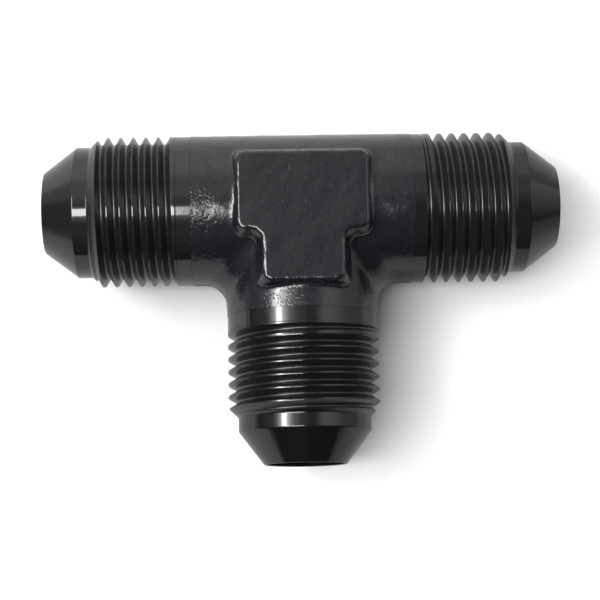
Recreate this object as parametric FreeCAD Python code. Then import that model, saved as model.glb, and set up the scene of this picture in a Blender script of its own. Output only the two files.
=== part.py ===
import FreeCAD, Part
import math
import os

from FreeCAD import Placement, Rotation, Vector

# Union tee with three male 37 degree flare ends, size 8 (for 1/2 inch tube).
#
# Frame, in millimetres: the origin is where the run and the branch cross. The run lies
# along X, the branch points along -Y, and +Z leaves the middle of the front wrench pad.
#
# The tee is one forging. It is kept as four solids that meet face to face where the
# as-forged skin gives way to the lathe work: the forged middle and the three turned ends.
# Each end is built standing on +Z and then turned to point along its leg.

# ---- thread: 3/4-16 UNJF, right-hand ----
THREAD_MAJOR_DIAMETER = 19.05
THREAD_PITCH = 25.4 / 16
THREAD_DEPTH_PER_PITCH = 0.611
THREAD_ROOT_FLAT_PER_PITCH = 1 / 6
THREAD_HALF_ANGLE = 30.0
THREAD_LEAD_CHAMFER_ANGLE = 45.0

# ---- flare nose ----
BORE_DIAMETER = 9.93
SEAT_HALF_ANGLE = 37.0
TIP_LAND = 0.22
NOSE_CLEARANCE = 0.33
NOSE_CYLINDER_LENGTH = 1.75
BORE_MOUTH_CHAMFER = 0.1

# ---- legs: forged reach from the centre, then the turned end ----
RUN_FORGED_REACH = 13.8
BRANCH_FORGED_REACH = 13.8
TURNED_LENGTH = 18.6
SHOULDER_LENGTH = 1.85
SHOULDER_UNDERCUT = 0.085
SHOULDER_NOTCH_DEPTH = 0.4

# ---- forged middle ----
FORGED_DIAMETER = 19.2
CROTCH_RADIUS = 2.7
CROTCH_SHARE_OF_ROOM = 0.8

# ---- T-shaped wrench pads, front and back ----
PAD_RISE = 0.7
PAD_BAR_WIDTH = 9.9
PAD_BAR_OFFSET = 0.45
PAD_STEM_WIDTH = 10.2
PAD_LEDGE = 3.1
PAD_STEM_SETBACK = 2.9
PAD_CORNER_RADIUS = 1.3
PAD_CORNER_SHARE_OF_LEDGE = 0.45
PAD_EDGE_RADIUS = 0.45
PAD_DRAFT_ANGLE = 14.0
PAD_ROOT_DEPTH = 4.1

# ---- angle round each leg at which its thread starts at the shoulder ----
RUN_LEFT_CLOCKING = 169.2
RUN_RIGHT_CLOCKING = -103.0
BRANCH_CLOCKING = 5.1

# ---- worked out ----
MAJOR_RADIUS = THREAD_MAJOR_DIAMETER / 2
THREAD_DEPTH = THREAD_DEPTH_PER_PITCH * THREAD_PITCH
THREAD_ROOT_FLAT = THREAD_ROOT_FLAT_PER_PITCH * THREAD_PITCH
ROOT_RADIUS = MAJOR_RADIUS - THREAD_DEPTH
NOSE_RADIUS = ROOT_RADIUS - NOSE_CLEARANCE
BORE_RADIUS = BORE_DIAMETER / 2
TIP_RADIUS = BORE_RADIUS + TIP_LAND
SHOULDER_RADIUS = MAJOR_RADIUS - SHOULDER_UNDERCUT
FORGED_RADIUS = FORGED_DIAMETER / 2
CONE_LENGTH = (NOSE_RADIUS - TIP_RADIUS) / math.tan(math.radians(SEAT_HALF_ANGLE))
LEAD_CHAMFER_LENGTH = (MAJOR_RADIUS - NOSE_RADIUS) / math.tan(math.radians(THREAD_LEAD_CHAMFER_ANGLE))
CROTCH_ROOM = min(RUN_FORGED_REACH, BRANCH_FORGED_REACH) - FORGED_RADIUS
CROTCH_FILLET = min(CROTCH_RADIUS, CROTCH_SHARE_OF_ROOM * CROTCH_ROOM)
PAD_HEIGHT = FORGED_RADIUS + PAD_RISE
PAD_ROOT_HEIGHT = FORGED_RADIUS - PAD_ROOT_DEPTH
PAD_STEM_REACH = BRANCH_FORGED_REACH - PAD_STEM_SETBACK
PAD_CORNER = min(PAD_CORNER_RADIUS, PAD_CORNER_SHARE_OF_LEDGE * PAD_LEDGE)

# ---- how the solids are made ----
CUTTER_OVERSHOOT = 0.1
SAME_PLACE = 1e-3

X_AXIS = Vector(1, 0, 0)
Y_AXIS = Vector(0, 1, 0)
Z_AXIS = Vector(0, 0, 1)
CENTRE = Vector(0, 0, 0)


def revolve_about_z(outline):
    """Solid of revolution from (radius, height) corners, listed round the section."""
    corners = [Vector(radius, 0, height) for radius, height in outline]
    face = Part.Face(Part.makePolygon(corners + corners[:1]))
    return face.revolve(CENTRE, Z_AXIS, 360)


def end_blank(step):
    """Turned end before threading, from its step: shoulder, thread cylinder, nose, flare cone."""
    tip = step + TURNED_LENGTH
    shoulder_end = step + SHOULDER_LENGTH
    notch_radius = MAJOR_RADIUS - SHOULDER_NOTCH_DEPTH
    notch_slope = SHOULDER_RADIUS - notch_radius
    flank_slope = SHOULDER_NOTCH_DEPTH * math.tan(math.radians(THREAD_HALF_ANGLE))
    cone_start = tip - CONE_LENGTH
    thread_face = cone_start - NOSE_CYLINDER_LENGTH
    outline = [
        (BORE_RADIUS, step),
        (SHOULDER_RADIUS, step),
        (SHOULDER_RADIUS, shoulder_end - notch_slope),
        (notch_radius, shoulder_end),
        (MAJOR_RADIUS, shoulder_end + flank_slope),
        (MAJOR_RADIUS, thread_face - LEAD_CHAMFER_LENGTH),
        (NOSE_RADIUS, thread_face),
        (NOSE_RADIUS, cone_start),
        (TIP_RADIUS, tip),
        (BORE_RADIUS + BORE_MOUTH_CHAMFER, tip),
        (BORE_RADIUS, tip - BORE_MOUTH_CHAMFER),
    ]
    return revolve_about_z(outline)


def one_turn_of_groove():
    """Helical V tool for one turn, starting at height zero on the +X side."""
    outer = MAJOR_RADIUS + CUTTER_OVERSHOOT
    root_half = THREAD_ROOT_FLAT / 2
    outer_half = root_half + (outer - ROOT_RADIUS) * math.tan(math.radians(THREAD_HALF_ANGLE))
    section = [
        Vector(ROOT_RADIUS, 0, -root_half),
        Vector(outer, 0, -outer_half),
        Vector(outer, 0, outer_half),
        Vector(ROOT_RADIUS, 0, root_half),
    ]
    profile = Part.makePolygon(section + section[:1])
    helix = Part.makeHelix(THREAD_PITCH, THREAD_PITCH, ROOT_RADIUS)
    return Part.Wire(helix).makePipeShell([profile], True, True)


def turned_end(step, clocking):
    """Threaded flare end standing on its step, with its thread turned to the clocking angle."""
    thread_start = step + SHOULDER_LENGTH + THREAD_ROOT_FLAT
    thread_end = step + TURNED_LENGTH - CONE_LENGTH - NOSE_CYLINDER_LENGTH + THREAD_PITCH / 2
    turns = math.ceil((thread_end - thread_start) / THREAD_PITCH)
    blank = end_blank(step)
    end = blank
    for turn in range(turns):
        cutter = one_turn_of_groove()
        cutter.translate(Vector(0, 0, thread_start + turn * THREAD_PITCH))
        end = end.cut(cutter)
    if blank.Volume - end.Volume < turns * cutter.Volume / 2:
        raise ValueError("the thread groove was not cut")
    end.rotate(CENTRE, Z_AXIS, clocking)
    return end


def rounded_outline(corners, radius, height):
    """Closed wire through plan corners at a height, each corner rounded by an arc."""
    count = len(corners)
    edges = []
    ends = []
    for index in range(count):
        before = Vector(*corners[index - 1], height)
        corner = Vector(*corners[index], height)
        after = Vector(*corners[(index + 1) % count], height)
        into = (before - corner).normalize()
        out = (after - corner).normalize()
        half_angle = into.getAngle(out) / 2
        setback = radius / math.tan(half_angle)
        bisector = (into + out).normalize()
        arc_centre = corner + bisector * (radius / math.sin(half_angle))
        middle = arc_centre - bisector * radius
        ends.append((corner + into * setback, middle, corner + out * setback))
    for index in range(count):
        arc_start, middle, arc_end = ends[index]
        next_start = ends[(index + 1) % count][0]
        edges.append(Part.Arc(arc_start, middle, arc_end).toShape())
        edges.append(Part.makeLine(arc_end, next_start))
    return Part.Wire(edges)


def pad_outline(growth, height):
    """T outline of a wrench pad at a height, grown outwards on every side."""
    stem_half = PAD_STEM_WIDTH / 2 + growth
    bar_half = stem_half + PAD_LEDGE
    bar_top = PAD_BAR_OFFSET + PAD_BAR_WIDTH / 2 + growth
    bar_bottom = PAD_BAR_OFFSET - PAD_BAR_WIDTH / 2 - growth
    stem_bottom = -PAD_STEM_REACH - growth
    corners = [
        (-bar_half, bar_top),
        (-bar_half, bar_bottom),
        (-stem_half, bar_bottom),
        (-stem_half, stem_bottom),
        (stem_half, stem_bottom),
        (stem_half, bar_bottom),
        (bar_half, bar_bottom),
        (bar_half, bar_top),
    ]
    return rounded_outline(corners, PAD_CORNER, height)


def wrench_pad():
    """Drafted T boss of the front pad, from inside the forging to its flat top."""
    growth = (PAD_HEIGHT - PAD_ROOT_HEIGHT) * math.tan(math.radians(PAD_DRAFT_ANGLE))
    base = pad_outline(growth, PAD_ROOT_HEIGHT)
    top = pad_outline(0, PAD_HEIGHT)
    return Part.makeLoft([base, top], True, True)


def lies_on(edge, height):
    """True where the whole edge lies in the plane at this height."""
    box = edge.BoundBox
    return abs(box.ZMin - height) < SAME_PLACE and abs(box.ZMax - height) < SAME_PLACE


def is_crotch(edge):
    """True for the curve where the branch cylinder runs into the run cylinder."""
    middle = edge.valueAt((edge.FirstParameter + edge.LastParameter) / 2)
    on_run = abs(math.hypot(middle.y, middle.z) - FORGED_RADIUS) < SAME_PLACE
    on_branch = abs(math.hypot(middle.x, middle.z) - FORGED_RADIUS) < SAME_PLACE
    return on_run and on_branch and middle.y < 0


def forged_body():
    """As-forged middle of the tee: two crossing barrels, crotch fillets and both pads."""
    run = Part.makeCylinder(FORGED_RADIUS, 2 * RUN_FORGED_REACH, Vector(-RUN_FORGED_REACH, 0, 0), X_AXIS)
    branch = Part.makeCylinder(FORGED_RADIUS, BRANCH_FORGED_REACH, CENTRE, -Y_AXIS)
    front_pad = wrench_pad()
    back_pad = front_pad.mirror(CENTRE, Z_AXIS)
    body = run.fuse([branch, front_pad, back_pad]).removeSplitter()
    body = body.makeFillet(CROTCH_FILLET, [edge for edge in body.Edges if is_crotch(edge)])
    rims = [edge for edge in body.Edges if lies_on(edge, PAD_HEIGHT) or lies_on(edge, -PAD_HEIGHT)]
    body = body.makeFillet(PAD_EDGE_RADIUS, rims)
    run_bore = Part.makeCylinder(BORE_RADIUS, 2 * RUN_FORGED_REACH, Vector(-RUN_FORGED_REACH, 0, 0), X_AXIS)
    branch_bore = Part.makeCylinder(BORE_RADIUS, BRANCH_FORGED_REACH, CENTRE, -Y_AXIS)
    return body.cut([run_bore, branch_bore])


def point_along(shape, direction):
    """Turns an end built on +Z so that its tip points along the direction."""
    turned = shape.copy()
    turned.Placement = Placement(CENTRE, Rotation(Z_AXIS, direction)).multiply(turned.Placement)
    return turned


def export(name, shape):
    """Writes one node after checking that it is sound."""
    if not shape.isValid():
        raise ValueError(name + " is not a valid shape")
    shape.exportStep("parts/" + name + ".step")
    print(name, "solids", len(shape.Solids), "volume", round(shape.Volume, 1))


os.makedirs("parts", exist_ok=True)
export("forged_body", forged_body())
export("run_end_left", point_along(turned_end(RUN_FORGED_REACH, RUN_LEFT_CLOCKING), -X_AXIS))
export("run_end_right", point_along(turned_end(RUN_FORGED_REACH, RUN_RIGHT_CLOCKING), X_AXIS))
export("branch_end", point_along(turned_end(BRANCH_FORGED_REACH, BRANCH_CLOCKING), -Y_AXIS))
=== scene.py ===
import math

import bmesh
import bpy
from mathutils import Matrix, Vector


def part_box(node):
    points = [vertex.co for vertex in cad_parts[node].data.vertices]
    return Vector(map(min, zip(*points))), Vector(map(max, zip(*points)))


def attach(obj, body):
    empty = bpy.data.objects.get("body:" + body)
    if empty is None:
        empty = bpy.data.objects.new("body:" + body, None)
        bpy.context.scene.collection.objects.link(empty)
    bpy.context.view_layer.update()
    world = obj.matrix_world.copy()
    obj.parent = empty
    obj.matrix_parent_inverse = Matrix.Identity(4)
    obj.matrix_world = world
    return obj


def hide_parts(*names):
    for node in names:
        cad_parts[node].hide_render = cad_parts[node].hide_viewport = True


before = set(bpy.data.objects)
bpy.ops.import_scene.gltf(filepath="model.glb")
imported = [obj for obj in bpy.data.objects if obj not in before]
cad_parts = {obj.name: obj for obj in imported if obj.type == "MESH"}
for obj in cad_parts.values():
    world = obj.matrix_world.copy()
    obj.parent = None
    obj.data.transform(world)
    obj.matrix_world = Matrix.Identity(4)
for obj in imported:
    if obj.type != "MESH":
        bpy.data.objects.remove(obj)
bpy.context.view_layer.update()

MM = 0.001

STEP_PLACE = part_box("run_end_right")[0].x / MM
TIP_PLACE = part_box("run_end_right")[1].x / MM
BACK_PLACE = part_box("forged_body")[0].z / MM

# the turned ends, in millimetres; a place is a distance from the middle of the tee along the leg
THREAD_RADIUS = 9.525
THREAD_PITCH = 25.4 / 16
THREAD_DEPTH = 0.611 * THREAD_PITCH
ROOT_RADIUS = THREAD_RADIUS - THREAD_DEPTH
ROOT_ROUNDING = 0.15 * THREAD_PITCH
ROOT_STEPS = 4
CREST_ROUNDING = 0.02
CREST_TURNS = (60, 38, 15)
CREST_LEAD = 0.035
FLANK_ANGLE = 30.0
SHOULDER_RADIUS = 9.50
SHOULDER_END = 15.6
CONE_ANGLE = 37.0
NOSE_RADIUS = 8.30
NOSE_START = 26.5
TIP_RADIUS = 5.185
MOUTH_CHAMFER = 0.1
BORE_RADIUS = 4.965
TOOL_END = 27.4
TOOL_HEIGHT = 0.5
TOOL_CLEARANCE = 0.03
STEPS_PER_TURN = 144
TURNED_SHARP_ANGLE = 32

# the forged middle, in millimetres
FORGED_RADIUS = 9.6
SKIN_GRID = 0.19
BARREL_OVERRUN = 1.2
BARREL_OVERLAP = 1.5
PLUG_WALL = 0.4
PLUG_SETBACK = 0.1
DRILL_OVERRUN = 3
EDGE_BREAK = 0.08
EDGE_BREAK_LENGTH = 0.2
END_RIM_WIDTH = 0.4
FLASH_HALF_WIDTH = 0.28
FLASH_HEIGHT = 0.14
FLASH_TOP_GAP = 0.5
TRIM_LINE_HALF_WIDTH = 0.4
TRIM_LINE_TOP = -9.0
PAD_RIM_PLACE = 9.65
PAD_FACE_LEVELNESS = 0.985
FORGED_SHARP_ANGLE = 50

# how near two vertices or a cut are taken as touching, in millimetres
WELD_DISTANCE = 0.0005
CUT_TOLERANCE = 0.0001
END_TOLERANCE = 0.01

# where the middle of a round edge lies, as a share of its size along both sides
ARC_MIDDLE = 0.29

# the finish, in millimetres from a leg's axis or along it: nothing at the first, all at the second
GROOVE_EDGE = (9.42, 9.50)
CREST_EDGE = (9.46, 9.52)
THREAD_START = (SHOULDER_END + 0.05, SHOULDER_END + 0.15)
THREAD_STOP = (26.1, 26.3)
ROUGH_END = (-11.5, -9.5)
ANODISE_IOR = 1.65

LAMP_DISTANCE = 1.0
FLOOR_SIZE = 4
CAMERA_PLACE = (-0.005956, -0.043615, 0.203653)
CAMERA_TURN = Vector((0.156, -0.026, -0.018))
FOCAL_LENGTH = 97.66
SENSOR_WIDTH = 36.0
NEAREST_SEEN = 0.01


# ---------------------------------------------------------------- workshop helpers


def clear_selection():
    bpy.ops.object.select_all(action="DESELECT")


def take(piece):
    """Selects only this piece."""
    clear_selection()
    piece.select_set(True)
    bpy.context.view_layer.objects.active = piece


def edit(piece, select="SELECT"):
    """Opens the piece in edit mode, with all of its mesh selected, or none."""
    take(piece)
    bpy.ops.object.mode_set(mode="EDIT")
    bpy.ops.mesh.select_mode(type="VERT")
    bpy.ops.mesh.select_all(action=select)


def leave_edit():
    bpy.ops.object.mode_set(mode="OBJECT")


def named(name):
    """Names the primitive that was just added."""
    piece = bpy.context.object
    piece.name = name
    piece.data.name = name
    return piece


def put_in_scene(thing):
    bpy.context.scene.collection.objects.link(thing)
    return thing


def use_modifier(piece, kind, **settings):
    """Adds a modifier with these settings and applies it."""
    take(piece)
    modifier = piece.modifiers.new(kind.title(), kind)
    for setting, value in settings.items():
        setattr(modifier, setting, value)
    bpy.ops.object.modifier_apply(modifier=modifier.name)


def paint(piece, material):
    """Gives the whole piece this material."""
    piece.data.materials.clear()
    piece.data.materials.append(material)


def cut_with(piece, tool):
    """Cuts the tool's shape from the piece and throws the tool away."""
    use_modifier(piece, "BOOLEAN", operation="DIFFERENCE", object=tool, solver="MANIFOLD")
    bpy.data.objects.remove(tool, do_unlink=True)


def fix_place(piece):
    """Puts the piece's place and turn into its mesh."""
    take(piece)
    bpy.ops.object.transform_apply(location=True, rotation=True, scale=True)


def join(pieces):
    """Joins the other pieces into the first."""
    take(pieces[0])
    for piece in pieces:
        piece.select_set(True)
    bpy.ops.object.join()
    return pieces[0]


def smooth(piece, sharp_angle):
    """Shades the piece smooth, apart from edges sharper than this many degrees."""
    take(piece)
    bpy.ops.object.shade_smooth_by_angle(angle=math.radians(sharp_angle))


def cylinder(name, radius, start, end, axis):
    """A closed cylinder between two places on the x or y axis, in millimetres."""
    middle = (start + end) / 2 * MM
    along_x = axis == "x"
    bpy.ops.mesh.primitive_cylinder_add(
        vertices=STEPS_PER_TURN,
        radius=radius * MM,
        depth=abs(end - start) * MM,
        location=(middle, 0, 0) if along_x else (0, middle, 0),
        rotation=(0, math.pi / 2, 0) if along_x else (math.pi / 2, 0, 0),
    )
    piece = named(name)
    fix_place(piece)
    return piece


def outline(name, points):
    """A chain of edges in the xz plane through these (radius, height) points, in millimetres."""
    bpy.ops.mesh.primitive_plane_add(size=MM)
    piece = named(name)
    edit(piece)
    bpy.ops.mesh.merge(type="CENTER")
    first_radius, first_height = points[0]
    bpy.ops.transform.translate(value=(first_radius * MM, 0, first_height * MM))
    for (radius, height), (next_radius, next_height) in zip(points, points[1:]):
        stretch = ((next_radius - radius) * MM, 0, (next_height - height) * MM)
        bpy.ops.mesh.extrude_region_move(TRANSFORM_OT_translate={"value": stretch})
    leave_edit()
    return piece


def spin(piece, steps, climb=0.0):
    """Turns an outline round the z axis by this many steps, rising by climb metres a turn."""
    use_modifier(
        piece,
        "SCREW",
        angle=math.tau * steps / STEPS_PER_TURN,
        screw_offset=climb * steps / STEPS_PER_TURN,
        iterations=1,
        steps=steps,
        render_steps=steps,
        use_merge_vertices=False,
        use_smooth_shade=True,
    )


def weld(piece):
    """Merges doubles and turns the faces outwards."""
    edit(piece)
    bpy.ops.mesh.remove_doubles(threshold=WELD_DISTANCE * MM)
    bpy.ops.mesh.normals_make_consistent(inside=False)
    leave_edit()


# ---------------------------------------------------------------- turned ends


def eased(before, corner, after, size=0.05, hold=0.12):
    """Replaces an outline's corner by a small round edge, with points that keep the faces beside it flat."""
    corner = Vector(corner)
    back = (Vector(before) - corner).normalized()
    on = (Vector(after) - corner).normalized()
    middle = (back + on) * size * ARC_MIDDLE
    points = [back * (size + hold), back * size, middle, on * size, on * (size + hold)]
    return [tuple(corner + point) for point in points]


def end_outline():
    """Outline of a blank end, round from the step to the tip and back through the bore."""
    cone_start = TIP_PLACE - (NOSE_RADIUS - TIP_RADIUS) / math.tan(math.radians(CONE_ANGLE))
    foot = (SHOULDER_RADIUS, STEP_PLACE)
    shoulder_end = (SHOULDER_RADIUS, SHOULDER_END)
    thread_first = (THREAD_RADIUS, SHOULDER_END + THREAD_RADIUS - SHOULDER_RADIUS)
    thread_last = (THREAD_RADIUS, NOSE_START - (THREAD_RADIUS - NOSE_RADIUS))
    nose_foot = (NOSE_RADIUS, NOSE_START)
    nose_edge = (NOSE_RADIUS, cone_start)
    tip_edge = (TIP_RADIUS, TIP_PLACE)
    mouth = (BORE_RADIUS + MOUTH_CHAMFER, TIP_PLACE)
    points = [foot]
    points += eased(foot, shoulder_end, thread_first, size=0.015, hold=0.03)
    points += eased(shoulder_end, thread_first, thread_last, size=0.02, hold=0.03)
    points += [thread_last]
    points += eased(thread_last, nose_foot, nose_edge, size=0.06)
    points += eased(nose_foot, nose_edge, tip_edge)
    points += eased(nose_edge, tip_edge, mouth, size=0.03, hold=0.02)
    points += [mouth, (BORE_RADIUS, TIP_PLACE - MOUTH_CHAMFER), (BORE_RADIUS, STEP_PLACE)]
    return points + [foot]


def turned_blank(name):
    """An end before its thread is cut, standing on the z axis."""
    blank = outline(name, end_outline())
    spin(blank, STEPS_PER_TURN)
    weld(blank)
    return blank


def groove_half():
    """One side of the threading tool's section, from its round nose up: (distance along, radius)."""
    half = [(0.0, ROOT_RADIUS)]
    for step in range(1, ROOT_STEPS + 1):
        turn = math.radians((90 - FLANK_ANGLE) * step / ROOT_STEPS)
        half.append((ROOT_ROUNDING * math.sin(turn), ROOT_RADIUS + ROOT_ROUNDING * (1 - math.cos(turn))))
    flank_side, flank_foot = half[-1]
    slope = math.tan(math.radians(FLANK_ANGLE))
    crest_centre = flank_side + (THREAD_RADIUS - flank_foot) * slope + CREST_ROUNDING * slope
    for turn in CREST_TURNS:
        lean = math.radians(turn)
        side = crest_centre - CREST_ROUNDING * math.sin(lean)
        half.append((side, THREAD_RADIUS - CREST_ROUNDING * (1 - math.cos(lean))))
    side, top = half[-1]
    lead_rise = CREST_LEAD * math.tan(math.radians(CREST_TURNS[-1]))
    half.append((side + CREST_LEAD, top + lead_rise))
    half.append((side + CREST_LEAD, THREAD_RADIUS + TOOL_HEIGHT))
    return half


def groove_outline():
    """Section of the threading tool: round nose, straight flanks and eased crest edges."""
    half = groove_half()
    lower = [(radius, -along) for along, radius in reversed(half)]
    upper = [(radius, along) for along, radius in half[1:]]
    return lower + upper + [lower[0]]


def rings_by_place(shape, groove_place, out_turn):
    """Groups the tool's vertices by how many steps round the spiral they are from its lower end."""
    step_angle = 360 / STEPS_PER_TURN
    rings = {}
    for vertex in shape.verts:
        angle = math.degrees(math.atan2(vertex.co.y, vertex.co.x))
        climb = (vertex.co.z / MM - groove_place) / THREAD_PITCH * 360
        angle += 360 * round((climb - angle) / 360)
        ring = round((angle - out_turn) / step_angle)
        rings.setdefault(ring, []).append(vertex)
    return rings


def run_out(tool, groove_place, out_turn, full_turn):
    """Lifts the tool out of the metal ring by ring, as it is drawn back at the shoulder."""
    count = int((full_turn - out_turn) * STEPS_PER_TURN / 360)
    edit(tool)
    shape = bmesh.from_edit_mesh(tool.data)
    rings = rings_by_place(shape, groove_place, out_turn)
    for ring in range(count):
        lift = (1 - ring / count) * (THREAD_DEPTH + TOOL_CLEARANCE)
        grow = (ROOT_RADIUS + lift) / ROOT_RADIUS
        bpy.ops.mesh.select_all(action="DESELECT")
        for vertex in rings[ring]:
            vertex.select = True
        bpy.ops.transform.resize(value=(grow, grow, 1), center_override=(0, 0, 0))
    leave_edit()


def close_tool(tool):
    """Closes the two open ends of the spiral."""
    edit(tool, "DESELECT")
    bpy.ops.mesh.select_non_manifold()
    bpy.ops.mesh.fill_holes(sides=0)
    bpy.ops.mesh.select_all(action="SELECT")
    bpy.ops.mesh.normals_make_consistent(inside=False)
    leave_edit()


def thread_tool(name, groove_place, out_turn, full_turn):
    """The spiral that is cut from a blank. The groove is groove_place from the centre at angle 0.
    Its lower end runs out between the two angles, in degrees."""
    turns = (TOOL_END - groove_place) / THREAD_PITCH - out_turn / 360
    tool = outline(name, groove_outline())
    edit(tool)
    bpy.ops.mesh.remove_doubles(threshold=WELD_DISTANCE * MM)
    leave_edit()
    spin(tool, math.ceil(turns * STEPS_PER_TURN), climb=THREAD_PITCH * MM)
    tool.rotation_euler.z = math.radians(out_turn)
    tool.location.z = (groove_place + THREAD_PITCH * out_turn / 360) * MM
    fix_place(tool)
    run_out(tool, groove_place, out_turn, full_turn)
    close_tool(tool)
    return tool


def turned_end(name, node, axis, zero, groove_place, out_turn, full_turn):
    """One threaded end. axis is the leg's direction and zero the direction of angle 0."""
    end = turned_blank(name)
    cut_with(end, thread_tool(name + "_tool", groove_place, out_turn, full_turn))
    axis = Vector(axis)
    zero = Vector(zero)
    third = axis.cross(zero)
    end.matrix_world = Matrix((zero, third, axis)).transposed().to_4x4()
    fix_place(end)
    smooth(end, TURNED_SHARP_ANGLE)
    use_modifier(end, "WEIGHTED_NORMAL", mode="FACE_AREA", weight=60, keep_sharp=True)
    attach(end, "root")
    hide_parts(node)
    return end


# ---------------------------------------------------------------- forged middle


def copy_of_node(node, name):
    """A welded copy of a CAD node's mesh. The node itself is left alone."""
    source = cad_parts[node]
    piece = put_in_scene(bpy.data.objects.new(name, source.data.copy()))
    piece.matrix_world = source.matrix_world
    piece.data.materials.clear()
    fix_place(piece)
    weld(piece)
    return piece


def slice_off(piece, place, normal):
    """Cuts away what lies beyond a plane and closes the cut."""
    edit(piece)
    bpy.ops.mesh.bisect(
        plane_co=Vector(place) * MM,
        plane_no=normal,
        use_fill=True,
        clear_outer=True,
        threshold=CUT_TOLERANCE * MM,
    )
    leave_edit()


def trimmed_flash(body):
    """The line that trimming leaves where the dies met, a little proud of the forging."""
    flash = body.copy()
    flash.data = body.data.copy()
    put_in_scene(flash)
    flash.name = "flash"
    edit(flash)
    bpy.ops.transform.shrink_fatten(value=FLASH_HEIGHT * MM)
    leave_edit()
    slice_off(flash, (0, 0, FLASH_HALF_WIDTH), (0, 0, 1))
    slice_off(flash, (0, 0, -FLASH_HALF_WIDTH), (0, 0, -1))
    slice_off(flash, (0, FORGED_RADIUS - FLASH_TOP_GAP, 0), (0, 1, 0))
    return flash


def solid_middle():
    """The CAD's forging, with its bores plugged, made one closed skin with the barrels and the flash."""
    middle = copy_of_node("forged_body", "tee_forging")
    flash = trimmed_flash(middle)
    reach = STEP_PLACE + BARREL_OVERRUN
    inner = STEP_PLACE - BARREL_OVERLAP
    plug_radius = BORE_RADIUS + PLUG_WALL
    plug_reach = reach - PLUG_SETBACK
    rounds = [
        cylinder("run_plug", plug_radius, -plug_reach, plug_reach, "x"),
        cylinder("branch_plug", plug_radius, 0, -plug_reach, "y"),
        cylinder("left_barrel", FORGED_RADIUS, -reach, -inner, "x"),
        cylinder("right_barrel", FORGED_RADIUS, inner, reach, "x"),
        cylinder("branch_barrel", FORGED_RADIUS, -inner, -reach, "y"),
    ]
    join([middle, flash] + rounds)
    use_modifier(middle, "REMESH", mode="VOXEL", voxel_size=SKIN_GRID * MM, use_smooth_shade=True)
    use_modifier(middle, "SMOOTH", factor=0.5, iterations=4)
    return middle


def gather(piece, name, belongs):
    """Names the vertices for which belongs is true."""
    group = piece.vertex_groups.new(name=name)
    for vertex in piece.data.vertices:
        if belongs(vertex):
            group.add([vertex.index], 1.0, "REPLACE")
    return name


def on_pad_rim(vertex):
    """On the rounded rim of a wrench pad."""
    return abs(vertex.co.z) > PAD_RIM_PLACE * MM and abs(vertex.normal.z) < PAD_FACE_LEVELNESS


def on_trim_line(vertex):
    """On the trimmed line along the bottom, where the dies met."""
    return abs(vertex.co.z) < TRIM_LINE_HALF_WIDTH * MM and vertex.co.y < TRIM_LINE_TOP * MM


def make_uneven(piece, name, size, strength, depth=2, group=""):
    """Sinks the skin by up to strength, in lumps of about this size, both in millimetres."""
    lumps = bpy.data.textures.new(name, "CLOUDS")
    lumps.noise_scale = size * MM
    lumps.noise_depth = depth
    use_modifier(
        piece, "DISPLACE", texture=lumps, vertex_group=group, strength=strength * MM, mid_level=1.0
    )


def roughen(middle):
    """The unevenness of a forged skin, with nibbled pad rims and nicks along the trimmed line."""
    make_uneven(middle, "forging_lumps", 3.0, 0.10)
    make_uneven(middle, "forging_skin", 0.55, 0.014)
    rims = gather(middle, "pad_rims", on_pad_rim)
    make_uneven(middle, "rim_nibbles", 0.6, 0.13, depth=1, group=rims)
    line = gather(middle, "trim_line", on_trim_line)
    make_uneven(middle, "trim_nicks", 0.7, 0.22, depth=1, group=line)


def ease_end(piece, axis, side):
    """A small chamfer round one end of the forging, where the turning tool has broken the edge."""
    normal = Vector(axis) * side
    edit(piece)
    bpy.ops.mesh.bisect(plane_co=normal * (STEP_PLACE - EDGE_BREAK_LENGTH) * MM, plane_no=normal)
    bpy.ops.mesh.select_all(action="DESELECT")
    shape = bmesh.from_edit_mesh(piece.data)
    for vertex in shape.verts:
        place = vertex.co.dot(normal)
        radius = (vertex.co - normal * place).length
        at_end = place > (STEP_PLACE - END_TOLERANCE) * MM
        vertex.select = at_end and radius > (FORGED_RADIUS - END_RIM_WIDTH) * MM
    shrink = 1 - EDGE_BREAK / FORGED_RADIUS
    keep_x, keep_y = (1.0 if part else shrink for part in axis[:2])
    bpy.ops.transform.resize(value=(keep_x, keep_y, shrink), center_override=(0, 0, 0))
    leave_edit()


def turn_faces(middle):
    """The three flat faces that the turned ends start from, with broken edges."""
    slice_off(middle, (STEP_PLACE, 0, 0), (1, 0, 0))
    slice_off(middle, (-STEP_PLACE, 0, 0), (-1, 0, 0))
    slice_off(middle, (0, -STEP_PLACE, 0), (0, -1, 0))
    ease_end(middle, (1, 0, 0), 1)
    ease_end(middle, (1, 0, 0), -1)
    ease_end(middle, (0, 1, 0), -1)


def drill(middle):
    """The two bores, which cross."""
    reach = STEP_PLACE + DRILL_OVERRUN
    run = cylinder("run_drill", BORE_RADIUS, -reach, reach, "x")
    branch = cylinder("branch_drill", BORE_RADIUS, 0, -reach, "y")
    cut_with(middle, run)
    cut_with(middle, branch)


def forged_middle():
    middle = solid_middle()
    roughen(middle)
    turn_faces(middle)
    drill(middle)
    smooth(middle, FORGED_SHARP_ANGLE)
    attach(middle, "root")
    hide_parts("forged_body")
    return middle


# ---------------------------------------------------------------- finishes


class Signal:
    """A node's output that can be used in sums."""

    def __init__(self, finish, socket):
        self.finish = finish
        self.socket = socket

    def maths(self, operation, first, second=0.0):
        return self.finish.node("Math", {"operation": operation}, {0: first, 1: second})

    def __add__(self, other):
        return self.maths("ADD", self, other)

    def __sub__(self, other):
        return self.maths("SUBTRACT", self, other)

    def __rsub__(self, other):
        return self.maths("SUBTRACT", other, self)

    def __mul__(self, other):
        return self.maths("MULTIPLY", self, other)

    def __pow__(self, other):
        return self.maths("POWER", self, other)

    def __abs__(self):
        return self.maths("ABSOLUTE", self)

    __radd__ = __add__
    __rmul__ = __mul__


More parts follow.
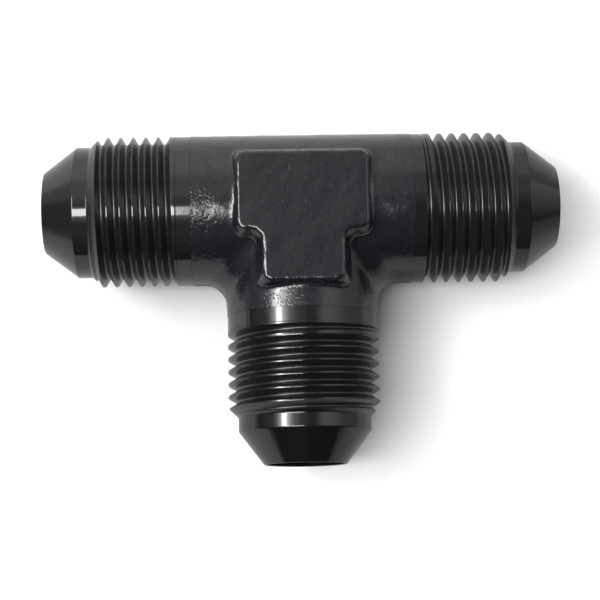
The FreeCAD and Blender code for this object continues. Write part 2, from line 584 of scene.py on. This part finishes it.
class Finish:
    """A material or a world, built node by node."""

    def __init__(self, owner):
        self.owner = owner
        owner.use_nodes = True
        self.tree = owner.node_tree
        self.tree.nodes.clear()

    def node(self, kind, settings=None, sockets=None, output=0):
        """Adds a node with these settings, and values or links for its sockets."""
        made = self.tree.nodes.new("ShaderNode" + kind)
        for setting, value in (settings or {}).items():
            setattr(made, setting, value)
        for socket, value in (sockets or {}).items():
            if isinstance(value, Signal):
                self.tree.links.new(value.socket, made.inputs[socket])
            else:
                made.inputs[socket].default_value = value
        return Signal(self, made.outputs[output]) if made.outputs else None

    def place(self, scale=(1, 1, 1), turn=(0, 0, 0)):
        """Object coordinates in millimetres, stretched and turned."""
        spot = self.node("TexCoord", output="Object")
        stretched = tuple(part / MM for part in scale)
        return self.node("Mapping", {}, {"Vector": spot, "Rotation": turn, "Scale": stretched})

    def parts(self, vector):
        """The x, y and z of a vector."""
        split = self.node("SeparateXYZ", {}, {"Vector": vector})
        return [Signal(self, output) for output in split.socket.node.outputs]

    def noise(self, per_mm, place=None, detail=2.0):
        sockets = {"Vector": place or self.place(), "Scale": per_mm, "Detail": detail}
        return self.node("TexNoise", {}, sockets)

    def band(self, signal, low, high):
        """0 below low and 1 above high, with a soft step between."""
        sockets = {"Value": signal, "From Min": low, "From Max": high}
        return self.node("MapRange", {"interpolation_type": "SMOOTHSTEP"}, sockets)

    def between(self, signal, rise, fall):
        """1 between two soft steps, up over rise and down over fall, and 0 outside them."""
        return self.band(signal, *rise) * (1 - self.band(signal, *fall))

    def blend(self, amount, first, second):
        """From the first colour to the second."""
        settings = {"data_type": "RGBA", "clamp_factor": True}
        return self.node("Mix", settings, {0: amount, 6: first, 7: second}, output=2)

    def bump(self, height, depth_mm, under=None):
        sockets = {"Height": height, "Distance": depth_mm * MM, "Strength": 1.0}
        if under:
            sockets["Normal"] = under
        return self.node("Bump", {}, sockets)

    def anodised(self, base, rough, normal):
        """The shader of both black finishes."""
        sockets = {"Base Color": base, "Roughness": rough, "IOR": ANODISE_IOR, "Normal": normal}
        return self.node("BsdfPrincipled", {}, sockets)

    def paper(self, colour):
        return self.node("BsdfDiffuse", {}, {"Color": colour, "Roughness": 0.0})

    def done(self, shader, output="OutputMaterial"):
        self.node(output, {}, {"Surface": shader})
        return self.owner


def grey(value, tint=0.0):
    """A grey with a little blue."""
    return (value * (1 - tint), value, value * (1 + 2 * tint), 1.0)


def radius_from(finish, axis):
    """Distance from a leg's axis, and the place along it, in millimetres."""
    x, y, z = finish.parts(finish.place())
    across, along = (y, x) if axis == "x" else (x, y)
    return (across * across + z * z) ** 0.5, along


def turned_finish(name, axis, dark, light):
    """Smooth turned metal with fine tool lines, anodised black. The grooves of the thread are duller, and
    painted lighter as a painted lift of the shade that falls in them.
    """
    finish = Finish(bpy.data.materials.new(name))
    radius, along = radius_from(finish, axis)
    line_sockets = {"W": along + radius, "Scale": 11.0, "Detail": 3.0}
    lines = finish.node("TexNoise", {"noise_dimensions": "1D"}, line_sockets)
    cloud = finish.noise(0.35, detail=3.0)
    specks = finish.band(finish.noise(3.2, detail=1.0), 0.815, 0.84)
    wear_patches = finish.band(finish.noise(1.6, detail=3.0), 0.60, 0.72)
    worn = finish.band(radius, *CREST_EDGE) * wear_patches * 0.5
    thread = finish.between(abs(along), THREAD_START, THREAD_STOP)
    groove_lightened_and_dull = thread * (1 - finish.band(radius, *GROOVE_EDGE))
    base = finish.blend(cloud, grey(dark, 0.05), grey(light, 0.05))
    # thread grooves painted lighter: painted light that lifts the shade in them
    base = finish.blend(groove_lightened_and_dull, base, grey(1.1 * light, 0.05))
    base = finish.blend(worn, base, grey(0.030))
    base = finish.blend(specks, base, grey(0.10))
    rough = 0.06 + cloud * 0.05 + worn * 0.15 + specks * 0.3 + groove_lightened_and_dull * 0.18
    normal = finish.bump(lines, 0.0028)
    normal = finish.bump(finish.noise(0.9), 0.004, normal)
    return finish.done(finish.anodised(base, rough, normal))


def forged_pits(finish):
    """Shallow pits, more of them on the left barrel and where the branch starts."""
    x, y, _ = finish.parts(finish.place())
    left_barrel = 1 - finish.band(x, *ROUGH_END)
    branch_root = 1 - finish.band(y, *ROUGH_END)
    rough_areas = (left_barrel + branch_root * 0.6) * (0.4 + finish.noise(0.4, detail=1.0) * 0.6)
    return finish.band(finish.noise(3.6, detail=1.5), 0.48, 0.80) * (0.16 + rough_areas * 0.84)


def forged_scratches(finish):
    """Fine slanting scratches, in patches."""
    drawn_out = finish.place(scale=(1, 0.14, 1), turn=(0, 0, math.radians(62)))
    scratches = finish.band(finish.noise(6.0, drawn_out, detail=1.0), 0.70, 0.75)
    return scratches * finish.band(finish.noise(0.5), 0.45, 0.62)


def forged_specks(finish):
    areas = finish.band(finish.noise(0.3, detail=1.0), 0.50, 0.62)
    return finish.band(finish.noise(4.6, detail=1.0), 0.70, 0.76) * (0.25 + areas * 0.75)


def forged_finish():
    """Satin forged skin, slightly pitted, anodised black."""
    finish = Finish(bpy.data.materials.new("forged_black_anodise"))
    cloud = finish.noise(0.25, detail=4.0)
    marks = forged_scratches(finish)
    specks = forged_specks(finish)
    base = finish.blend(cloud, grey(0.0085, 0.12), grey(0.0115, 0.12))
    base = finish.blend(marks * 0.5, base, grey(0.04))
    base = finish.blend(specks, base, grey(0.06))
    rough = 0.13 + cloud * 0.07 + marks * 0.15 + specks * 0.2
    normal = finish.bump(1 - forged_pits(finish), 0.032)
    normal = finish.bump(finish.noise(7.0), 0.004, normal)
    return finish.done(finish.anodised(base, rough, normal))


# ---------------------------------------------------------------- studio


def floor_finish():
    """Pale paper that reads as white and keeps the shadow, with a painted shadow near the object where its
    glow fades out. Metal sees it with painted shade, darker to the front and sides.
    """
    finish = Finish(bpy.data.materials.new("paper"))
    x, y, _ = finish.parts(finish.place())
    front = 1 - finish.band(y, -35, 0)
    right = finish.band(x, 0, 35)
    far_left = (1 - finish.band(x, -165, -105)) * (1 - finish.band(y, 0, 80))
    far_right = finish.band(x, 55, 120)
    # painted shade on the paper as the metal sees it: darker to the front, the right and far off to both
    # sides
    painted_shade = (1 - front * 0.25) * (1 - right * 0.25) * (1 - far_left * 0.65) * (1 - far_right * 0.35)
    reflected = finish.paper(finish.blend(painted_shade, grey(0.0), grey(0.70)))
    distance = (x * x + y * y) ** 0.5
    # the glow fades out near the object, a painted shadow round it on top of the real one; far off it rises
    # to full white
    near_glow = finish.blend(finish.band(distance, 14, 40), grey(0.0), grey(0.10))
    glow_colour = finish.blend(finish.band(distance, 90, 450), near_glow, grey(1.0))
    glow = finish.node("Emission", {}, {"Color": glow_colour, "Strength": 1.0})
    shown = finish.node("AddShader", {}, {0: finish.paper(grey(1.0)), 1: glow})
    camera_ray = finish.node("LightPath", output="Is Camera Ray")
    return finish.done(finish.node("MixShader", {}, {0: camera_ray, 1: reflected, 2: shown}))


def make_floor():
    bpy.ops.mesh.primitive_plane_add(size=FLOOR_SIZE, location=(0, 0, BACK_PLACE * MM))
    paper = named("floor")
    paint(paper, floor_finish())


def panel_glow(room):
    """Brightness of the soft panels by direction: x is to the right, y to the back and z up."""
    x, y, z = room.parts(room.node("TexCoord", output="Generated"))
    leftwards = 1 - room.band(x, -0.06, 0.13)
    front_fill = room.band(z, 0.02, 0.45) * (0.02 + leftwards * 0.12)
    front_fill = front_fill * (0.3 + room.band(y, -0.93, -0.74) * 0.7)
    top = room.band(y, -0.10, 0.12) * room.band(x, -1.0, -0.80) * (0.14 + leftwards * 0.08)
    left_side = (1 - room.band(x, -0.96, -0.90)) * 0.06
    upper = room.band(y, 0.12, 0.30) * (0.16 + leftwards * 0.10)
    back = room.band(y, 0.62, 0.80) * (0.30 + leftwards * 0.08)
    right_side = room.band(x, 0.26, 0.52) * (1 - room.band(x, 0.66, 0.98) * 0.70)
    right_side = right_side * room.between(y, (-0.30, -0.02), (0.35, 0.60))
    halo = room.between(x, (-0.86, -0.72), (-0.48, -0.10)) * 1.5
    halo = halo + room.between(x, (-0.79, -0.62), (-0.56, -0.36)) * 4.5
    halo = halo * room.between(y, (-0.30, -0.06), (0.16, 0.40))
    foot_halo = room.between(x, (-0.75, -0.50), (-0.06, 0.05))
    foot_halo = foot_halo * room.between(y, (-0.50, -0.26), (-0.10, 0.02))
    level = 0.03 + front_fill + top + left_side + upper + back
    return level + right_side * 0.72 + halo + foot_halo * 0.9


def make_world():
    """Soft white panels round the object, for everything but the camera, which sees white."""
    world = bpy.data.worlds.new("studio")
    bpy.context.scene.world = world
    room = Finish(world)
    camera_ray = room.node("LightPath", output="Is Camera Ray")
    strength = panel_glow(room) * (1 - camera_ray) + camera_ray
    room.done(room.node("Background", {}, {"Color": grey(1.0), "Strength": strength}), "OutputWorld")


def softbox(name, towards, width, height, brightness):
    """A soft panel lamp in this direction from the object. brightness is what a mirror would show."""
    light = bpy.data.lights.new(name, "AREA")
    light.shape = "RECTANGLE"
    light.size = width
    light.size_y = height
    light.energy = brightness * math.pi * width * height
    lamp = put_in_scene(bpy.data.objects.new(name, light))
    away = Vector(towards).normalized()
    upwards = away.cross(Vector((1, 0, 0))).normalized()
    across = upwards.cross(away)
    turn = Matrix((across, upwards, away)).transposed().to_4x4()
    lamp.matrix_world = Matrix.Translation(away * LAMP_DISTANCE) @ turn


def make_lamps():
    softbox("key", (-0.61, 0.11, 0.79), width=0.15, height=0.28, brightness=14.0)
    softbox("key_foot", (-0.33, -0.175, 0.93), width=0.56, height=0.22, brightness=11.5)


def make_camera():
    data = bpy.data.cameras.new("camera")
    data.lens = FOCAL_LENGTH
    data.sensor_width = SENSOR_WIDTH
    data.clip_start = NEAREST_SEEN
    camera = put_in_scene(bpy.data.objects.new("camera", data))
    camera.location = CAMERA_PLACE
    camera.rotation_mode = "QUATERNION"
    turn = Matrix.Rotation(CAMERA_TURN.length, 3, CAMERA_TURN.normalized())
    camera.rotation_quaternion = turn.to_quaternion()
    bpy.context.scene.camera = camera


# ---------------------------------------------------------------- assembly

make_camera()
make_floor()
make_world()
make_lamps()

run_finish = turned_finish("turned_black_anodise_run", "x", dark=0.0070, light=0.0100)
# same turned finish as the run, but the branch's copy is painted darker: painted shade on the branch
shaded_branch_finish = turned_finish("turned_black_anodise_branch_painted_darker", "y", dark=0.0045, light=0.0065)

left_end = turned_end(
    "left_flare_end",
    "run_end_left",
    axis=(-1, 0, 0),
    zero=(0, 1, 0),
    groove_place=17.23,
    out_turn=-380,
    full_turn=-197,
)
paint(left_end, run_finish)

right_end = turned_end(
    "right_flare_end",
    "run_end_right",
    axis=(1, 0, 0),
    zero=(0, 1, 0),
    groove_place=16.85,
    out_turn=-380,
    full_turn=-180,
)
paint(right_end, run_finish)

lower_end = turned_end(
    "branch_flare_end",
    "branch_end",
    axis=(0, -1, 0),
    zero=(-1, 0, 0),
    groove_place=16.77,
    out_turn=-215,
    full_turn=-45,
)
paint(lower_end, shaded_branch_finish)

middle = forged_middle()
paint(middle, forged_finish())

scene = bpy.context.scene
scene.view_settings.view_transform = "Standard"

clear_selection()
